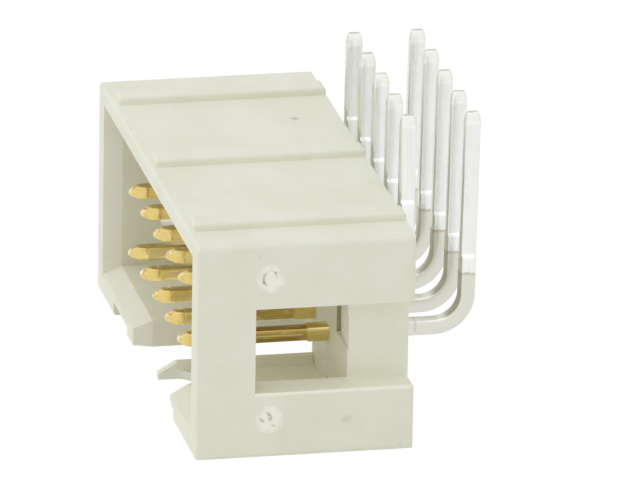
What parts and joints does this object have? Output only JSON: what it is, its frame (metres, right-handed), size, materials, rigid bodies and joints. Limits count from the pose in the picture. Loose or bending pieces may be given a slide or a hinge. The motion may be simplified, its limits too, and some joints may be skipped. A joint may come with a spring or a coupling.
{
  "type": "right-angle box header",
  "caption": "Right-angle box header for a ribbon-cable plug: light grey moulded housing with a keyed cavity and two rows of bent gold and tin contacts.",
  "frame": {"origin": "on the surface that the header lies on, under the middle of its overall box", "axes": "+X along the two rows of contacts towards contact one, the cavity opens to -Y, +Z along the solder tails towards the board"},
  "size_m": [0.0204, 0.012, 0.0119],
  "materials": {
    "housing_plastic": "light pebble-grey moulded thermoplastic, satin, with a fine mould texture",
    "contact_metal": "copper alloy, gold plated on the mating length and bright tin plated on the solder tail"
  },
  "bodies": {
    "root": {"housing": "housing_plastic", "contact_01": "contact_metal", "contact_02": "contact_metal", "contact_03": "contact_metal", "contact_04": "contact_metal", "contact_05": "contact_metal", "contact_06": "contact_metal", "contact_07": "contact_metal", "contact_08": "contact_metal", "contact_09": "contact_metal", "contact_10": "contact_metal"}
  },
  "joints": []
}
